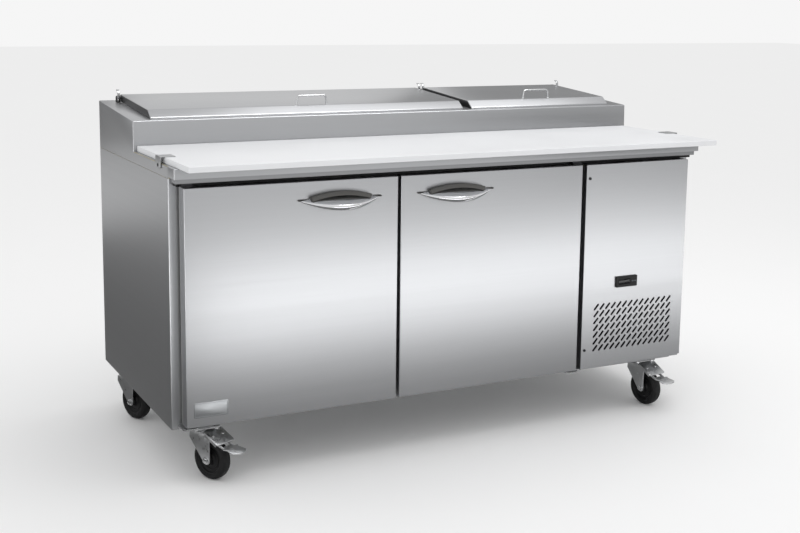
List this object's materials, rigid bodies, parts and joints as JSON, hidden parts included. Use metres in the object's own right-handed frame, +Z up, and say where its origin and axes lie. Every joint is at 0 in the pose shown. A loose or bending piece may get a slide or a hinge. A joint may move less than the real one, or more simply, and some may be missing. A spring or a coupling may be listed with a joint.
{
  "type": "sandwich prep table",
  "caption": "Two-door refrigerated prep table on casters: sloped pan rail under hinged lids, full-length cutting board, side-mounted machinery behind a grille.",
  "frame": {"origin": "on the floor, at the middle of the bounding box", "axes": "+Z up, +X along the width from the left end to the machinery end, doors facing -Y"},
  "size_m": [1.8105, 0.9301, 1.0626],
  "materials": {
    "satin_stainless": "fine vertical and lengthwise brushing",
    "bright_steel": "bright rolled steel",
    "galvanised_steel": "galvanised",
    "liner_aluminium": "smooth rolled",
    "liner_plastic": "vacuum-formed white",
    "foam": "closed-cell foam",
    "black_plastic": "fine-textured",
    "button_plastic": "soft satin",
    "pan_steel": "drawn and polished",
    "dark_hardware": "dark plated",
    "board_polyethylene": "fine pebbled",
    "gasket_rubber": "soft extruded",
    "chrome": "polished",
    "shelf_coating": "dip-coated wire",
    "coil_aluminium": "thin fins",
    "compressor_paint": "black enamel",
    "fan_plastic": "moulded",
    "zinc_steel": "zinc-plated pressed steel",
    "wheel_rubber": "moulded tread"
  },
  "bodies": {
    "cabinet": {"side_panel_left": "satin_stainless", "side_panel_right": "satin_stainless", "base_panel": "satin_stainless", "front_frame": "satin_stainless", "machine_wall": "satin_stainless", "work_deck": "satin_stainless", "header_strip": "satin_stainless", "rail_housing": "satin_stainless", "rail_top_frame": "satin_stainless", "pan_divider_bars": "satin_stainless", "cabinet_liner": "liner_aluminium", "board_clips": "bright_steel", "door_hinge_brackets": "bright_steel", "shelf_supports": "bright_steel", "back_panel": "galvanised_steel", "foam_core": "foam", "recess_strip": "black_plastic", "lid_hinge_brackets": "dark_hardware", "evaporator_cover": "liner_aluminium", "evaporator_coil": "coil_aluminium", "condenser_coil": "coil_aluminium", "fan_shroud": "galvanised_steel", "compressor": "compressor_paint", "power_inlet": "black_plastic", "caster_plates": "zinc_steel"},
    "board": {"cutting_board": "board_polyethylene"},
    "service_door": {"service_panel": "satin_stainless", "panel_screws": "bright_steel", "controller": "black_plastic"},
    "evaporator_rotor": {"evaporator_fan": "fan_plastic"},
    "condenser_rotor": {"condenser_fan": "fan_plastic"},
    "door_left": {"door_skin_left": "satin_stainless", "door_inner_panel_left": "liner_plastic", "door_gasket_left": "gasket_rubber", "door_handle_left": "chrome"},
    "lid_assembly_left": {"lid_left": "satin_stainless", "lid_handle_left": "bright_steel"},
    "pan_set_left": {"pans_left": "pan_steel"},
    "shelf_left": {"wire_shelf_left": "shelf_coating"},
    "door_right": {"door_skin_right": "satin_stainless", "door_inner_panel_right": "liner_plastic", "door_gasket_right": "gasket_rubber", "door_handle_right": "chrome"},
    "lid_assembly_right": {"lid_right": "satin_stainless", "lid_handle_right": "bright_steel"},
    "pan_set_right": {"pans_right": "pan_steel"},
    "shelf_right": {"wire_shelf_right": "shelf_coating"},
    "push_down": {"button_down": "button_plastic"},
    "push_up": {"button_up": "button_plastic"},
    "push_set": {"button_set": "button_plastic"},
    "caster_swivel_front_left": {"caster_fork_front_left": "zinc_steel"},
    "wheel_front_left": {"caster_wheel_front_left": "wheel_rubber"},
    "caster_swivel_front_right": {"caster_fork_front_right": "zinc_steel"},
    "wheel_front_right": {"caster_wheel_front_right": "wheel_rubber"},
    "caster_swivel_rear_left": {"caster_fork_rear_left": "zinc_steel"},
    "wheel_rear_left": {"caster_wheel_rear_left": "wheel_rubber"},
    "caster_swivel_rear_right": {"caster_fork_rear_right": "zinc_steel"},
    "wheel_rear_right": {"caster_wheel_rear_right": "wheel_rubber"},
    "pedal_front_left": {"brake_pedal_front_left": "zinc_steel"},
    "pedal_front_right": {"brake_pedal_front_right": "zinc_steel"}
  },
  "joints": [
    {"name": "door_left_hinge", "type": "hinge", "parent": "cabinet", "child": "door_left", "pos_m": [-0.861, -0.343, 0.512], "axis": [0, 0, -1], "range_deg": [0, 110]},
    {"name": "door_right_hinge", "type": "hinge", "parent": "cabinet", "child": "door_right", "pos_m": [0.419, -0.343, 0.512], "axis": [0, 0, 1], "range_deg": [0, 95]},
    {"name": "service_panel_hinge", "type": "hinge", "parent": "cabinet", "child": "service_door", "pos_m": [0.848, -0.325, 0.512], "axis": [0, 0, 1], "range_deg": [0, 100]},
    {"name": "lid_left_hinge", "type": "hinge", "parent": "cabinet", "child": "lid_assembly_left", "pos_m": [-0.3, 0.42023, 1.03441], "axis": [-1, 0, 0], "range_deg": [0, 100]},
    {"name": "pans_left_lift", "type": "slide", "parent": "cabinet", "child": "pan_set_left", "axis": [0, -0.0695, 0.9976], "range_m": [0, 0.003]},
    {"name": "shelf_left_lift", "type": "slide", "parent": "cabinet", "child": "shelf_left", "axis": [0, 0, 1], "range_m": [0, 0.045]},
    {"name": "lid_right_hinge", "type": "hinge", "parent": "cabinet", "child": "lid_assembly_right", "pos_m": [0.556, 0.42023, 1.03441], "axis": [-1, 0, 0], "range_deg": [0, 100]},
    {"name": "pans_right_lift", "type": "slide", "parent": "cabinet", "child": "pan_set_right", "axis": [0, -0.0695, 0.9976], "range_m": [0, 0.003]},
    {"name": "shelf_right_lift", "type": "slide", "parent": "cabinet", "child": "shelf_right", "axis": [0, 0, 1], "range_m": [0, 0.045]},
    {"name": "board_slide", "type": "slide", "parent": "cabinet", "child": "board", "axis": [0, -1, 0], "range_m": [0, 0.3]},
    {"name": "push_down", "type": "slide", "parent": "service_door", "child": "push_down", "axis": [0, 1, 0], "range_m": [0, 0.0008], "stiffness_N_per_m": 400},
    {"name": "push_up", "type": "slide", "parent": "service_door", "child": "push_up", "axis": [0, 1, 0], "range_m": [0, 0.0008], "stiffness_N_per_m": 400},
    {"name": "push_set", "type": "slide", "parent": "service_door", "child": "push_set", "axis": [0, 1, 0], "range_m": [0, 0.0008], "stiffness_N_per_m": 400},
    {"name": "evaporator_fan_spin", "type": "hinge", "parent": "cabinet", "child": "evaporator_rotor", "pos_m": [0.334, 0.15, 0.64], "axis": [1, 0, 0], "continuous": true},
    {"name": "condenser_fan_spin", "type": "hinge", "parent": "cabinet", "child": "condenser_rotor", "pos_m": [0.65, -0.215, 0.3], "axis": [0, 1, 0], "continuous": true},
    {"name": "swivel_front_left", "type": "hinge", "parent": "cabinet", "child": "caster_swivel_front_left", "pos_m": [-0.803, -0.29, 0.145], "axis": [0, 0, 1], "continuous": true},
    {"name": "wheel_spin_front_left", "type": "hinge", "parent": "caster_swivel_front_left", "child": "wheel_front_left", "pos_m": [-0.78704, -0.32002, 0.06], "axis": [0.8829, 0.4695, 0], "continuous": true},
    {"name": "swivel_front_right", "type": "hinge", "parent": "cabinet", "child": "caster_swivel_front_right", "pos_m": [0.758, -0.277, 0.145], "axis": [0, 0, 1], "continuous": true},
    {"name": "wheel_spin_front_right", "type": "hinge", "parent": "caster_swivel_front_right", "child": "wheel_front_right", "pos_m": [0.76273, -0.31067, 0.06], "axis": [0.9903, 0.1392, 0], "continuous": true},
    {"name": "swivel_rear_left", "type": "hinge", "parent": "cabinet", "child": "caster_swivel_rear_left", "pos_m": [-0.857, 0.315, 0.145], "axis": [0, 0, 1], "continuous": true},
    {"name": "wheel_spin_rear_left", "type": "hinge", "parent": "caster_swivel_rear_left", "child": "wheel_rear_left", "pos_m": [-0.84426, 0.28348, 0.06], "axis": [0.9272, 0.3746, 0], "continuous": true},
    {"name": "swivel_rear_right", "type": "hinge", "parent": "cabinet", "child": "caster_swivel_rear_right", "pos_m": [0.857, 0.315, 0.145], "axis": [0, 0, 1], "continuous": true},
    {"name": "wheel_spin_rear_right", "type": "hinge", "parent": "caster_swivel_rear_right", "child": "wheel_rear_right", "pos_m": [0.86974, 0.28348, 0.06], "axis": [0.9272, 0.3746, 0], "continuous": true},
    {"name": "brake_front_left", "type": "hinge", "parent": "caster_swivel_front_left", "child": "pedal_front_left", "pos_m": [-0.79079, -0.31296, 0.127], "axis": [0.8829, 0.4695, 0], "range_deg": [0, 8]},
    {"name": "brake_front_right", "type": "hinge", "parent": "caster_swivel_front_right", "child": "pedal_front_right", "pos_m": [0.76162, -0.30275, 0.127], "axis": [0.9903, 0.1392, 0], "range_deg": [0, 8]}
  ]
}
